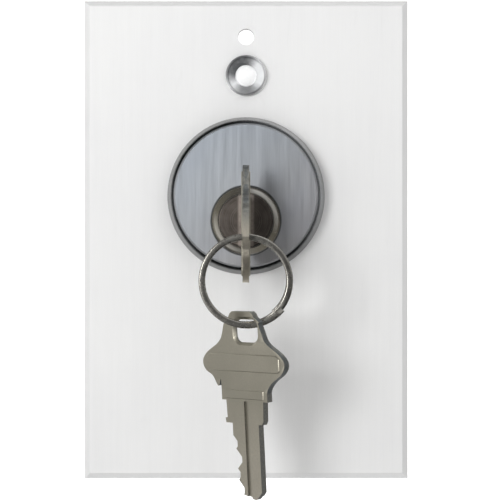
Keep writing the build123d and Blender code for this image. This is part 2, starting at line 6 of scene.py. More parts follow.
import bmesh
import bpy
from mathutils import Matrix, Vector


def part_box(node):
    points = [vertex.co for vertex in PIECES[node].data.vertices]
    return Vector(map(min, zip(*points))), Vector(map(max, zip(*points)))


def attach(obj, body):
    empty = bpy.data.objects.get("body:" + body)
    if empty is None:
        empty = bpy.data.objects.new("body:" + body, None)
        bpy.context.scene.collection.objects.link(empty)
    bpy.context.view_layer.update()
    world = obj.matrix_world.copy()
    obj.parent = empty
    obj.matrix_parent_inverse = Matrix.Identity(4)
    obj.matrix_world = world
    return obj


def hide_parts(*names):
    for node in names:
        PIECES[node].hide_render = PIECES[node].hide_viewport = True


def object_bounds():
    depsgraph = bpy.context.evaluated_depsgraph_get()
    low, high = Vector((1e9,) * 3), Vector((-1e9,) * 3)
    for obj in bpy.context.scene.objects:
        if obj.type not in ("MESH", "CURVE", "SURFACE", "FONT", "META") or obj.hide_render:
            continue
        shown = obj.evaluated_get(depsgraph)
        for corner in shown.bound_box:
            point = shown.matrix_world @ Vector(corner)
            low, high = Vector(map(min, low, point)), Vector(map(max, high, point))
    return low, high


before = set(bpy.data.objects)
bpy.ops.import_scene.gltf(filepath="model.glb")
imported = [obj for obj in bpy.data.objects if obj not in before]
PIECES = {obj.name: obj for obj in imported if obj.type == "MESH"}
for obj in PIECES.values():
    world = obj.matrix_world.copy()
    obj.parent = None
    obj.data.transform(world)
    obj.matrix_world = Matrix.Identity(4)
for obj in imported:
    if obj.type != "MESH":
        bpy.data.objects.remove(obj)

MM = 0.001
CAD_BOX = [list(map(float, corner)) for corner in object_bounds()]
scene = bpy.context.scene

# Places on the front, all on the centre line x = 0
CYLINDER_Z = 0.0104
PLUG_Z = 0.00445
LAMP_Z = 0.0391
PLATE_HALF_HEIGHT = 0.057
PLATE_LEFT = -0.0387

HEAD_EDGE_RADIUS = 0.01690      # eased edge of the cylinder head
CONE_EDGE_RADII = (0.00785, 0.00815)    # the cone round the plug fades out between these
CONE_ARC_RADIUS = 0.00715       # painted reflection arcs on the cone
CONE_ARC_REACH = 0.0073
CONE_LIP_RADIUS = 0.00822       # dark line round the cone
COLLAR_LIP_RADII = (0.01835, 0.01855)
BEZEL_RIM_RADIUS = 0.0045
KEYWAY_HIGHLIGHT = (0.0016, 0.0021)  # distance from x = 0 over which the painted highlight fades
CENTRE_GUARD = 0.0005           # keeps divisions by a radius finite

SPARE_KEY_TURN = math.radians(47)


# ---------------------------------------------------------------------------
# node helpers
# ---------------------------------------------------------------------------
def srgb(*levels):
    """Linear colour from 0-255 sRGB levels."""
    def linear(level):
        level /= 255.0
        return level / 12.92 if level <= 0.04045 else ((level + 0.055) / 1.055) ** 2.4

    return tuple(linear(level) for level in levels)


def grey_level(level):
    return (level, level, level)


class Nodes:
    """Adds nodes to a tree. Every input takes either a socket or a plain value."""

    def __init__(self, tree):
        self.tree = tree

    def feed(self, socket, value):
        if isinstance(value, bpy.types.NodeSocket):
            self.tree.links.new(value, socket)
        else:
            socket.default_value = (*value[:3], 1) if socket.type == "RGBA" else value

    def node(self, kind, inputs=None, **settings):
        node = self.tree.nodes.new(kind)
        for name, value in settings.items():
            setattr(node, name, value)
        for key, value in (inputs or {}).items():
            self.feed(node.inputs[key], value)
        return node

    def math(self, operation, *values, clamp=False):
        inputs = dict(enumerate(values))
        return self.node("ShaderNodeMath", inputs, operation=operation, use_clamp=clamp).outputs[0]

    def add(self, a, b, clamp=False):
        return self.math("ADD", a, b, clamp=clamp)

    def subtract(self, a, b):
        return self.math("SUBTRACT", a, b)

    def multiply(self, a, b, clamp=False):
        return self.math("MULTIPLY", a, b, clamp=clamp)

    def weighted(self, a, a_weight, b, b_weight):
        return self.add(self.multiply(a, a_weight), self.multiply(b, b_weight))

    def remap(self, value, source=(0.3, 0.7), to=(0.0, 1.0), **settings):
        """Clamped map range; the default source is the usual swing of a noise."""
        inputs = {
            "From Min": source[0], "From Max": source[1],
            "To Min": to[0], "To Max": to[1], "Value": value,
        }
        return self.node("ShaderNodeMapRange", inputs, **settings).outputs[0]

    def grey(self, level):
        return self.node("ShaderNodeCombineColor", {i: level for i in range(3)}).outputs[0]

    def split(self, vector):
        return self.node("ShaderNodeSeparateXYZ", {0: vector}).outputs


class Surface(Nodes):
    """A Principled material under construction, textured in object coordinates."""

    def __init__(self, name):
        self.material = bpy.data.materials.new(name)
        self.material.use_nodes = True
        super().__init__(self.material.node_tree)
        self.tree.nodes.clear()
        self.output = self.node("ShaderNodeOutputMaterial")
        self.bsdf = self.node("ShaderNodeBsdfPrincipled")
        self.feed(self.output.inputs["Surface"], self.bsdf.outputs[0])
        self.coordinates = self.node("ShaderNodeTexCoord").outputs["Object"]

    def set(self, **inputs):
        """Feeds Principled inputs, with _ for each space, and returns the material."""
        for name, value in inputs.items():
            self.feed(self.bsdf.inputs[name.replace("_", " ")], value)
        return self.material

    def xyz(self):
        return self.split(self.coordinates)

    def mapping(self, stretch, location=(0, 0, 0), rotation=(0, 0, 0)):
        inputs = {
            "Scale": stretch, "Location": location,
            "Rotation": rotation, "Vector": self.coordinates,
        }
        return self.node("ShaderNodeMapping", inputs).outputs[0]

    def noise(self, scale=1.0, stretch=(1, 1, 1), detail=3.0, roughness=0.55, distortion=0.0,
              **placing):
        """Noise in waves per metre; stretch multiplies the scale along each axis."""
        inputs = {
            "Scale": scale, "Detail": detail, "Roughness": roughness,
            "Distortion": distortion, "Vector": self.mapping(stretch, **placing),
        }
        return self.node("ShaderNodeTexNoise", inputs).outputs["Fac"]

    def voronoi(self, scale=1.0, stretch=(1, 1, 1), feature="F1"):
        inputs = {"Scale": scale, "Vector": self.mapping(stretch)}
        return self.node("ShaderNodeTexVoronoi", inputs, feature=feature).outputs["Distance"]

    def streaks(self, fine, wide, wide_share, location, detail=4.0, roughness=0.6):
        """Directional grain: a fine and a wide stretched noise added by share."""
        fine = self.noise(stretch=fine, detail=detail, roughness=roughness)
        wide = self.noise(stretch=wide, roughness=0.5, location=location)
        return self.math("MULTIPLY_ADD", wide, wide_share, self.multiply(fine, 1 - wide_share))

    def ramp(self, factor, stops):
        node = self.node("ShaderNodeValToRGB", {"Fac": factor})
        elements = node.color_ramp.elements
        while len(elements) < len(stops):
            elements.new(0.5)
        for element, (position, color) in zip(elements, stops):
            element.position = position
            element.color = (*color, 1)
        return node.outputs["Color"]

    def mix(self, factor, a, b, mode="MIX"):
        # inputs 6 and 7 and output 2 are the colour sockets
        node = self.node("ShaderNodeMix", data_type="RGBA", blend_type=mode)
        for index, value in ((0, factor), (6, a), (7, b)):
            self.feed(node.inputs[index], value)
        return node.outputs[2]

    def shade(self, color, level):
        """Colour multiplied by a brightness."""
        return self.mix(1.0, color, self.grey(level), "MULTIPLY")

    def bump(self, height, strength, distance=0.00003, **normal):
        inputs = {"Strength": strength, "Distance": distance, "Height": height, **normal}
        return self.node("ShaderNodeBump", inputs).outputs[0]

    def pointiness(self):
        return self.node("ShaderNodeNewGeometry").outputs["Pointiness"]

    def radius(self, x, z):
        return self.math("SQRT", self.add(self.multiply(x, x), self.multiply(z, z)))

    def toward(self, x, z, reach, direction):
        """Dot product of (x, z) with an x-z direction, divided by reach."""
        return self.math("DIVIDE", self.weighted(x, direction[0], z, direction[1]), reach)

    def circle_line(self, radius, centre, fade, strength=1.0):
        """A line at one radius; fade holds where it starts to soften and where it ends."""
        distance = self.math("ABSOLUTE", self.subtract(radius, centre))
        return self.remap(distance, source=fade, to=(strength, 0.0))


# ---------------------------------------------------------------------------
# materials made for several pieces
# ---------------------------------------------------------------------------
def brushed(name, color, rough, stretch, grain, bump, blotch=0.05, blotch_scale=60.0,
            wear=0.0, wear_color=None):
    """Metal with a directional grain. stretch is waves per metre along each axis."""
    s = Surface(name)
    streak = s.streaks(fine=stretch, wide=tuple(waves * 0.17 for waves in stretch),
                       wide_share=0.5, location=(3.1, 1.7, 9.2))
    cloud = s.noise(scale=blotch_scale, roughness=0.6)
    level = s.add(s.remap(streak, to=(1 - grain, 1 + grain)), s.remap(cloud, to=(-blotch, blotch)))
    color = s.shade(color, level)
    if wear:
        edge = s.remap(s.pointiness(), source=(0.505, 0.54))
        patches = s.remap(s.noise(scale=900, detail=4), source=(0.35, 0.65), to=(0.2, 1.0))
        edge = s.multiply(s.multiply(edge, patches), wear, clamp=True)
        color = s.mix(edge, color, wear_color)
    roughness = s.add(s.remap(streak, source=(0.25, 0.75), to=(rough - 0.08, rough + 0.08)),
                      s.remap(cloud, to=(-0.03, 0.03)), clamp=True)
    return s.set(Base_Color=color, Metallic=1.0, Roughness=roughness,
                 Normal=s.bump(streak, strength=bump, distance=0.00004))


def plastic(name, color, rough, grain_scale, bump, specular, variation=0.08):
    """Moulded plastic with a fine pebbled grain and faint clouds."""
    s = Surface(name)
    grain = s.noise(scale=grain_scale)
    pebble = s.voronoi(scale=grain_scale * 0.8)
    cloud = s.noise(scale=120.0, detail=4.0)
    return s.set(
        Base_Color=s.shade(color, s.remap(cloud, to=(1 - variation, 1 + variation))),
        Roughness=s.remap(grain, to=(rough - 0.06, rough + 0.08)),
        Specular_IOR_Level=specular,
        Normal=s.bump(s.weighted(grain, 0.5, pebble, 0.5), strength=bump))


def key_metal(name, thickness_axis, upright):
    """Nickel silver: smooth warm grey faces with handling scratches; the edge faces carry painted
    shade.
    """
    s = Surface(name)
    normal = s.node("ShaderNodeTexCoord").outputs["Normal"]
    facing = s.node("ShaderNodeVectorMath", {0: normal, 1: Vector(thickness_axis).normalized()},
                    operation="DOT_PRODUCT").outputs["Value"]
    shaded_side = s.remap(s.math("ABSOLUTE", facing), source=(0.35, 0.75), to=(1.0, 0.0))

    cloud = s.noise(scale=70.0, roughness=0.5)
    fine = s.noise(scale=2600.0, detail=2.0)
    scratch_a = s.noise(stretch=(500, 16000, 9000), roughness=0.6, rotation=(0.3, 0.2, 0.5))
    scratch_b = s.noise(stretch=(9000, 600, 16000), roughness=0.6, rotation=(0.7, -0.4, 0.1))
    scratch = s.math("MAXIMUM", s.remap(scratch_a, source=(0.62, 0.74)),
                     s.remap(scratch_b, source=(0.64, 0.76)))
    color = s.ramp(cloud, [(0.25, srgb(178, 174, 158)), (0.5, srgb(187, 182, 166)),
                           (0.8, srgb(196, 191, 175))])
    color = s.mix(s.remap(fine, source=(0.4, 0.7), to=(0.0, 0.08)), color, srgb(120, 118, 106))
    color = s.mix(s.multiply(scratch, 0.24), color, srgb(172, 169, 158))
    shear = s.noise(stretch=(2500, 2500, 2500), roughness=0.6, distortion=0.5)
    # painted shade: the edge faces get a darker blue-grey copy of the metal
    shaded_side_color = s.ramp(shear, [(0.3, srgb(112, 116, 117)), (0.7, srgb(136, 138, 136))])
    if upright:
        # the lower end of the upright key catches the light, the upper end does not
        end = s.remap(s.xyz()[2], source=(0.006, 0.0015))
        end = s.multiply(end, s.remap(shear, to=(0.75, 1.0)))
        shaded_side_color = s.mix(end, shaded_side_color, srgb(214, 206, 190))
    else:
        # the blade is lighter towards the tip than the bow
        lightened = s.remap(s.xyz()[2], source=(-0.036, -0.057), to=(0.0, 0.45))
        lightened = s.multiply(lightened, s.remap(cloud, to=(0.7, 1.0)))
        color = s.mix(lightened, color, srgb(236, 226, 210))
    color = s.mix(shaded_side, color, shaded_side_color)

    # painted shade in the hollows, bright wear on the corners
    hollow_shade = s.multiply(s.remap(s.pointiness(), source=(0.42, 0.485), to=(0.6, 0.0)),
                       s.remap(shear, source=(0.40, 0.60), to=(0.25, 1.0)))
    color = s.mix(hollow_shade, color, srgb(58, 56, 48))
    edge = s.multiply(s.remap(s.pointiness(), source=(0.52, 0.58), to=(0.0, 0.5)),
                      s.remap(fine, source=(0.35, 0.6), to=(0.35, 0.8)))
    color = s.mix(edge, color, srgb(178, 173, 160))
    roughness = s.add(s.remap(cloud, to=(0.33, 0.41)), s.multiply(scratch, 0.10), clamp=True)
    scratched = s.bump(scratch, strength=0.10)
    return s.set(Base_Color=color, Metallic=0.92, Roughness=roughness,
                 Normal=s.bump(s.weighted(fine, 0.5, shear, 0.2), strength=0.05,
                               distance=0.00004, Normal=scratched))


def smear_noise(s, scale):
    return s.noise(scale=scale, detail=5.0, roughness=0.65, distortion=0.6)


def finish_chrome(s, smear, color, metallic, roughness):
    """Polish shared by the collar and the bezel."""
    fine = s.noise(scale=6000.0)
    return s.set(Base_Color=color, Metallic=metallic,
                 Roughness=s.remap(smear, source=(0.3, 0.75), to=roughness),
                 Normal=s.bump(s.weighted(smear, 0.7, fine, 0.3), strength=0.03))


def zinc(name, warm=0.0):
    """Zinc plate: pale blue-grey with faint iridescent patches and rolling marks."""
    s = Surface(name)
    cloud = s.noise(scale=90.0, detail=4.0, distortion=0.8)
    crystal = s.voronoi(scale=900.0)
    roll = s.noise(stretch=(300, 4000, 4000))
    color = s.ramp(cloud, [(0.25, srgb(168, 174, 182)), (0.5, srgb(188, 190, 190)),
                           (0.75, srgb(196, 192, 178))])
    if warm:
        color = s.mix(warm, color, srgb(206, 178, 110))
    color = s.mix(s.remap(crystal, source=(0.0, 0.6), to=(0.0, 0.12)), color, srgb(226, 230, 234))
    return s.set(Base_Color=color, Metallic=0.9, Roughness=s.remap(cloud, to=(0.30, 0.44)),
                 Normal=s.bump(s.weighted(roll, 0.5, crystal, 0.3), strength=0.07,
                               distance=0.00004))


# ---------------------------------------------------------------------------
# materials made for one piece
# ---------------------------------------------------------------------------
def plate_satin():
    """Satin stainless, nearly white: fine vertical grain, faint clouds, hairline scratches."""
    s = Surface("plate_satin")
    x, _, z = s.xyz()
    streak = s.streaks(fine=(7000, 7000, 90), wide=(900, 900, 25), wide_share=0.35,
                       location=(4.0, 2.0, 7.0))
    cloud = s.noise(scale=28.0)
    hair = s.voronoi(stretch=(520, 520, 9), feature="DISTANCE_TO_EDGE")
    hair = s.remap(hair, source=(0.0, 0.012), to=(1.0, 0.0))
    color = s.ramp(cloud, [(0.25, srgb(246, 246, 246)), (0.75, srgb(252, 252, 251))])
    level = s.remap(streak, to=(0.975, 1.02))
    # painted shade: the sheet is darker towards the foot and the left edge
    painted_shade_falloff = s.multiply(
        s.remap(z, source=(-PLATE_HALF_HEIGHT, PLATE_HALF_HEIGHT), to=(0.96, 1.0)),
        s.remap(x, source=(PLATE_LEFT, 0.015), to=(0.965, 1.0)))
    color = s.shade(color, s.multiply(level, painted_shade_falloff))
    color = s.mix(s.multiply(hair, 0.05), color, grey_level(0.6))
    return s.set(Base_Color=color, Metallic=0.12,
                 Roughness=s.remap(streak, source=(0.25, 0.75), to=(0.46, 0.60)),
                 Normal=s.bump(streak, strength=0.06))


def cylinder_satin():
    """Satin chrome: vertical grain, bluish grey, with painted shade darker to the lower right."""
    s = Surface("cylinder_satin")
    x, _, z = s.xyz()
    streak = s.streaks(fine=(6500, 300, 130), wide=(900, 100, 45), wide_share=0.45,
                       location=(1.0, 2.0, 3.0), detail=5.0, roughness=0.65)
    # painted shade: one soft diagonal fall-off across the face
    painted_shade_diagonal = s.weighted(x, -0.62, s.subtract(z, CYLINDER_Z), 0.78)
    color = s.ramp(s.remap(painted_shade_diagonal, source=(-0.019, 0.016)), [
        (0.0, srgb(166, 165, 166)), (0.3, srgb(172, 173, 176)),
        (0.62, srgb(169, 173, 178)), (1.0, srgb(168, 174, 181))])
    color = s.shade(color, s.remap(streak, to=(0.88, 1.12)))
    tint = s.noise(scale=70.0, detail=2.0)
    color = s.mix(s.remap(tint, source=(0.45, 0.7), to=(0.0, 0.14)), color, srgb(128, 138, 164))
    # a light line along the eased edge of the head
    head_radius = s.radius(x, s.subtract(z, CYLINDER_Z))
    rim = s.circle_line(head_radius, HEAD_EDGE_RADIUS, fade=(0.00006, 0.00026), strength=0.65)
    color = s.mix(rim, color, srgb(206, 208, 210))
    # turned cone around the plug, with a painted reflection: a bright arc upper right and a
    # fainter one lower left
    plug_z = s.subtract(z, PLUG_Z)
    plug_radius = s.radius(x, plug_z)
    cone = s.remap(plug_radius, source=CONE_EDGE_RADII, to=(1.0, 0.0))
    across = s.toward(x, plug_z, CONE_ARC_REACH, direction=(0.80, 0.60))
    upper = s.remap(across, source=(0.45, 0.95))
    lower = s.remap(s.multiply(across, -1.0), source=(0.55, 1.0), to=(0.0, 0.8))
    band = s.circle_line(plug_radius, CONE_ARC_RADIUS, fade=(0.0003, 0.0007))
    painted_reflection_arcs = s.multiply(s.math("MAXIMUM", upper, lower), band)
    lip = s.circle_line(plug_radius, CONE_LIP_RADIUS, fade=(0.00008, 0.00030), strength=0.75)
    color = s.mix(s.multiply(cone, 0.9), color, srgb(140, 137, 131))
    color = s.mix(painted_reflection_arcs, color, srgb(232, 230, 226))
    color = s.mix(lip, color, srgb(58, 60, 60))
    roughness = s.remap(streak, source=(0.25, 0.75), to=(0.28, 0.42))
    return s.set(Base_Color=color, Metallic=s.remap(painted_reflection_arcs, source=(0.0, 1.0), to=(0.85, 0.15)),
                 Roughness=s.subtract(roughness, s.multiply(cone, 0.18)), Anisotropic=0.45,
                 Normal=s.bump(streak, strength=0.10))


def collar_chrome():
    """Polished collar with painted reflections: light to the right, dark at the top and bottom,
    dim at the left.
    """
    s = Surface("collar_chrome")
    x, _, z = s.xyz()
    z = s.subtract(z, CYLINDER_Z)
    radius = s.math("MAXIMUM", s.radius(x, z), CENTRE_GUARD)
    right = s.toward(x, z, radius, direction=(0.90, 0.43))
    left = s.toward(x, z, radius, direction=(-0.95, -0.30))
    smear = smear_noise(s, scale=220.0)
    # painted reflection: light to the right and a little at the left, dark elsewhere
    painted_reflection = s.math("MAXIMUM", s.remap(right, source=(0.25, 0.9)),
                 s.remap(left, source=(0.75, 1.0), to=(0.0, 0.35)))
    painted_reflection = s.add(painted_reflection, s.remap(smear, to=(-0.08, 0.08)), clamp=True)
    color = s.mix(painted_reflection, srgb(36, 38, 38), srgb(140, 142, 144))
    lip = s.remap(radius, source=COLLAR_LIP_RADII, to=(0.0, 0.55))
    color = s.mix(lip, color, srgb(48, 49, 52))
    return finish_chrome(s, smear, color, metallic=0.80, roughness=(0.14, 0.24))


def bezel_chrome():
    """Polished lamp bezel with painted shade and reflections: dark at the upper left and
    underneath, bright to the right.
    """
    s = Surface("bezel_chrome")
    x, _, z = s.xyz()
    z = s.subtract(z, LAMP_Z)
    radius = s.radius(x, z)
    reach = s.math("MAXIMUM", radius, CENTRE_GUARD)
    upper_left = s.toward(x, z, reach, direction=(-0.62, 0.78))
    down = s.toward(x, z, reach, direction=(0.05, -1.0))
    smear = smear_noise(s, scale=260.0)
    # painted shade at the upper left and a painted dark reflection underneath; the rest is a
    # painted bright reflection
    dark = s.math("MAXIMUM", s.remap(upper_left, source=(0.05, 0.75)),
                  s.remap(down, source=(0.55, 0.95), to=(0.0, 0.75)))
    dark = s.add(dark, s.remap(smear, to=(-0.12, 0.12)), clamp=True)
    color = s.mix(dark, srgb(242, 243, 244), srgb(96, 97, 99))
    rim = s.circle_line(radius, BEZEL_RIM_RADIUS, fade=(0.00010, 0.00030), strength=0.55)
    color = s.mix(rim, color, srgb(150, 151, 153))
    return finish_chrome(s, smear, color, metallic=0.55, roughness=(0.10, 0.20))


def plug_turned():
    """Dull plug face: circular turning marks, with painted highlights either side of the keyway.
    """
    s = Surface("plug_turned")
    x, _, z = s.xyz()
    radius = s.radius(x, s.subtract(z, PLUG_Z))
    rings = s.node("ShaderNodeTexNoise", {"Scale": 4200, "Detail": 4, "W": radius},
                   noise_dimensions="1D").outputs["Fac"]
    cloud = s.noise(scale=420.0, detail=4.0)
    patches = s.noise(scale=1500.0, detail=5.0, roughness=0.7)
    color = s.ramp(cloud, [(0.3, srgb(78, 72, 69)), (0.7, srgb(104, 97, 92))])
    # painted highlight: light strips either side of the keyway on the plug face
    lightened = s.remap(s.math("ABSOLUTE", x), source=KEYWAY_HIGHLIGHT, to=(1.0, 0.0))
    lightened = s.multiply(lightened, s.remap(patches, source=(0.30, 0.55), to=(0.55, 1.0)), clamp=True)
    color = s.mix(s.multiply(lightened, 0.75), color, srgb(176, 166, 160))
    color = s.mix(s.remap(rings, source=(0.45, 0.7), to=(0.0, 0.25)), color, srgb(150, 146, 140))
    return s.set(Base_Color=color, Metallic=0.95, Roughness=s.remap(rings, to=(0.30, 0.46)),
                 Normal=s.bump(rings, strength=0.16))


def lamp_epoxy():
    """Milky clear epoxy, glowing a little."""
    s = Surface("lamp_epoxy")
    cloud = s.noise(scale=1400.0)
    return s.set(Base_Color=s.ramp(cloud, [(0.3, (0.93, 0.94, 0.95)), (0.7, grey_level(0.98))]),
                 Roughness=s.remap(cloud, to=(0.06, 0.12)),
                 Transmission_Weight=0.35, IOR=1.5,
                 Subsurface_Weight=0.5, Subsurface_Radius=(0.002, 0.002, 0.002),
                 Emission_Color=(1, 1, 1), Emission_Strength=0.22)


def wire_pvc():
    """Red wire insulation."""
    s = Surface("wire_pvc_red")
    red = srgb(150, 22, 20)
    cloud = s.noise(scale=700.0)
    fine = s.noise(scale=6000.0, detail=2.0)
    dark_red = tuple(channel * 0.85 for channel in red)
    return s.set(Base_Color=s.ramp(cloud, [(0.3, dark_red), (0.7, red)]),
                 Roughness=s.remap(fine, to=(0.32, 0.48)),
                 Normal=s.bump(fine, strength=0.1))


MATERIALS = {
    "plate": plate_satin(),
    "cylinder": cylinder_satin(),
    "key": key_metal("key_nickel_silver", thickness_axis=(1, 0, 0), upright=True),
    "spare": key_metal("spare_nickel_silver", upright=False,
                       thickness_axis=(-math.sin(SPARE_KEY_TURN), -math.cos(SPARE_KEY_TURN), 0)),
    "collar": collar_chrome(),
    "bezel": bezel_chrome(),
    "plug": plug_turned(),
    "ring": brushed("ring_spring_steel", srgb(138, 136, 131), rough=0.26,
                    stretch=(1500, 1500, 1500), grain=0.08, bump=0.05, blotch=0.04,
                    blotch_scale=200.0, wear=0.5, wear_color=srgb(210, 206, 196)),
    "zinc": zinc("zinc_plate"),
    "zinc_warm": zinc("zinc_yellow_passivate", warm=0.35),
    "brass": brushed("turned_brass", srgb(196, 158, 88), rough=0.26, stretch=(5000, 5000, 5000),
                     grain=0.07, bump=0.10, blotch=0.08, blotch_scale=200.0),
    "contact": brushed("contact_brass", srgb(214, 182, 116), rough=0.24,
                       stretch=(300, 5000, 5000), grain=0.06, bump=0.08, blotch=0.06,
                       blotch_scale=150.0),
    "spring": brushed("music_wire", srgb(120, 120, 122), rough=0.25, stretch=(8000, 8000, 8000),
                      grain=0.10, bump=0.06, blotch=0.05, blotch_scale=200.0),
    "block": plastic("block_thermoset", srgb(44, 46, 50), rough=0.42, grain_scale=5000.0,
                     bump=0.20, specular=0.45),
    "plunger": plastic("plunger_acetal", srgb(222, 218, 204), rough=0.38, grain_scale=3000.0,
                       bump=0.08, specular=0.5, variation=0.04),
    "retainer": plastic("retainer_nylon", srgb(24, 24, 26), rough=0.40, grain_scale=4500.0,
                        bump=0.15, specular=0.5),
    "lens": lamp_epoxy(),
    "wire": wire_pvc(),
    "tin": brushed("tinned_lead", srgb(190, 190, 192), rough=0.28, stretch=(5000, 5000, 5000),
                   grain=0.06, bump=0.1),
}

# material: the CAD pieces that wear it
WORN_BY = {
    "plate": ["face_plate"],
    "cylinder": ["cylinder_body"],
    "key": ["operating_key"],
    "spare": ["spare_key"],
    "collar": ["trim_collar"],
    "bezel": ["lamp_bezel"],
    "plug": ["cylinder_plug"],
    "ring": ["key_ring"],
    "zinc": ["lamp_nut", "switch_bracket", "plug_cam", "cam_screws", "block_screws",
             "detent_screw"],
    "zinc_warm": ["lock_ring", "terminal_screws"],
    "brass": ["bottom_pins", "driver_pins", "chamber_caps"],
    "contact": ["contact_bridge_left", "contact_bridge_right", "terminals_left",
                "terminals_right"],
    "spring": ["pin_springs", "spring_washer", "plunger_spring_left", "plunger_spring_right",
               "detent_spring"],
    "block": ["contact_block_left", "contact_block_right"],
    "plunger": ["plunger_left", "plunger_right"],
    "retainer": ["lamp_retainer"],
    "lens": ["lamp_lens"],
    "wire": ["lamp_wires"],
    "tin": ["lamp_leads"],
}

# CAD piece: width of its edge bevel
BEVELS = {
    "face_plate": 0.00012, "operating_key": 0.00014, "spare_key": 0.00014,
    "switch_bracket": 0.00010, "contact_block_left": 0.00015, "contact_block_right": 0.00015,
    "plunger_left": 0.00012, "plunger_right": 0.00012, "plug_cam": 0.00008,
    "terminals_left": 0.00006, "terminals_right": 0.00006, "lock_ring": 0.00010,
}
WELD_DISTANCE = 0.0000005
BEVEL_ANGLE = math.radians(38)
SMOOTH_ANGLE = math.radians(32)


# ---------------------------------------------------------------------------
# CAD pieces: weld, small edge bevels and smooth shading by angle, as modifiers
# ---------------------------------------------------------------------------
def smooth_by_angle():
    """Geometry nodes: all faces smooth, edges sharper than SMOOTH_ANGLE kept sharp."""
    group = bpy.data.node_groups.new("smooth_by_angle", "GeometryNodeTree")
    for direction in ("INPUT", "OUTPUT"):
        group.interface.new_socket("Geometry", in_out=direction,
                                   socket_type="NodeSocketGeometry")
    g = Nodes(group)
    source = g.node("NodeGroupInput").outputs[0]
    angle = g.node("GeometryNodeInputMeshEdgeAngle").outputs["Unsigned Angle"]
    soft = g.node("FunctionNodeCompare", {"A": angle, "B": SMOOTH_ANGLE},
                  data_type="FLOAT", operation="LESS_THAN").outputs[0]
    faces = g.node("GeometryNodeSetShadeSmooth", {"Geometry": source, "Shade Smooth": True},
                   domain="FACE").outputs[0]
    edges = g.node("GeometryNodeSetShadeSmooth", {"Geometry": faces, "Shade Smooth": soft},
                   domain="EDGE").outputs[0]
    g.node("NodeGroupOutput", {0: edges})
    return group


SMOOTH_GROUP = smooth_by_angle()


def add_smoothing(obj):
    obj.modifiers.new("smooth", "NODES").node_group = SMOOTH_GROUP


def dress(obj, material, bevel_width):
    obj.data.materials.clear()
    obj.data.materials.append(material)
    # imported shading would override the modifiers
    for name in ("custom_normal", "sharp_edge", "sharp_face"):
        attribute = obj.data.attributes.get(name)
        if attribute is not None:
            obj.data.attributes.remove(attribute)
    obj.modifiers.new("weld", "WELD").merge_threshold = WELD_DISTANCE
    if bevel_width:
        bevel = obj.modifiers.new("bevel", "BEVEL")
        bevel.width = bevel_width
        bevel.segments = 2
        bevel.limit_method = "ANGLE"
        bevel.angle_limit = BEVEL_ANGLE
        bevel.use_clamp_overlap = True
    add_smoothing(obj)
    normals = obj.modifiers.new("weighted_normals", "WEIGHTED_NORMAL")
    normals.mode = "FACE_AREA"
    normals.weight = 60
    normals.keep_sharp = True


for finish, names in WORN_BY.items():
    for name in names:
        dress(PIECES[name], MATERIALS[finish], BEVELS.get(name, 0.0))


def mesh_object(name, bm, material=None):
    """Smooth-shaded object from a bmesh, linked to the scene."""
    mesh = bpy.data.meshes.new(name)
    bm.to_mesh(mesh)
    bm.free()
    for polygon in mesh.polygons:
        polygon.use_smooth = True
    if material:
        mesh.materials.append(material)
    obj = bpy.data.objects.new(name, mesh)
    scene.collection.objects.link(obj)
    return obj


# ---------------------------------------------------------------------------
# split ring: two coils side by side along Y with a stepped crossover
# ---------------------------------------------------------------------------
RING_WIDTH = 1.5 * MM           # radial width of the wire
COIL_GAP = 0.03 * MM            # taken off each coil's thickness
WIRE_CORNER = 0.34 * MM
RING_INSET = 0.02 * MM          # keeps the coils inside the CAD ring
RING_TURNS = 2.03
RING_STEPS = 320
RING_START = math.radians(-38)  # where the coil ends show, lower right
CROSSOVER = (0.47, 0.06)        # start and length, as shares of the wire
END_THICKNESS = 0.40            # of the full thickness, at the ground tips
GROUND_SHARE = 0.010            # share of the wire ground thin at each end
SPRUNG_SHARE = 0.11             # share of the wire sprung open at each end
FIRST_SPRING, LAST_SPRING = 0.42 * MM, -0.30 * MM   # radial shift of the two tips


def wire_profile(width, thickness):
    """Rounded rectangle of (radial, axial) points."""
    profile = []
    for radial_side, axial_side, first in ((1, 1, 0), (-1, 1, 90), (-1, -1, 180), (1, -1, 270)):
        for k in range(5):
            angle = math.radians(first + 22.5 * k)
            profile.append((
                radial_side * (width / 2 - WIRE_CORNER) + WIRE_CORNER * math.cos(angle),
                axial_side * (thickness / 2 - WIRE_CORNER) + WIRE_CORNER * math.sin(angle)))
    return profile


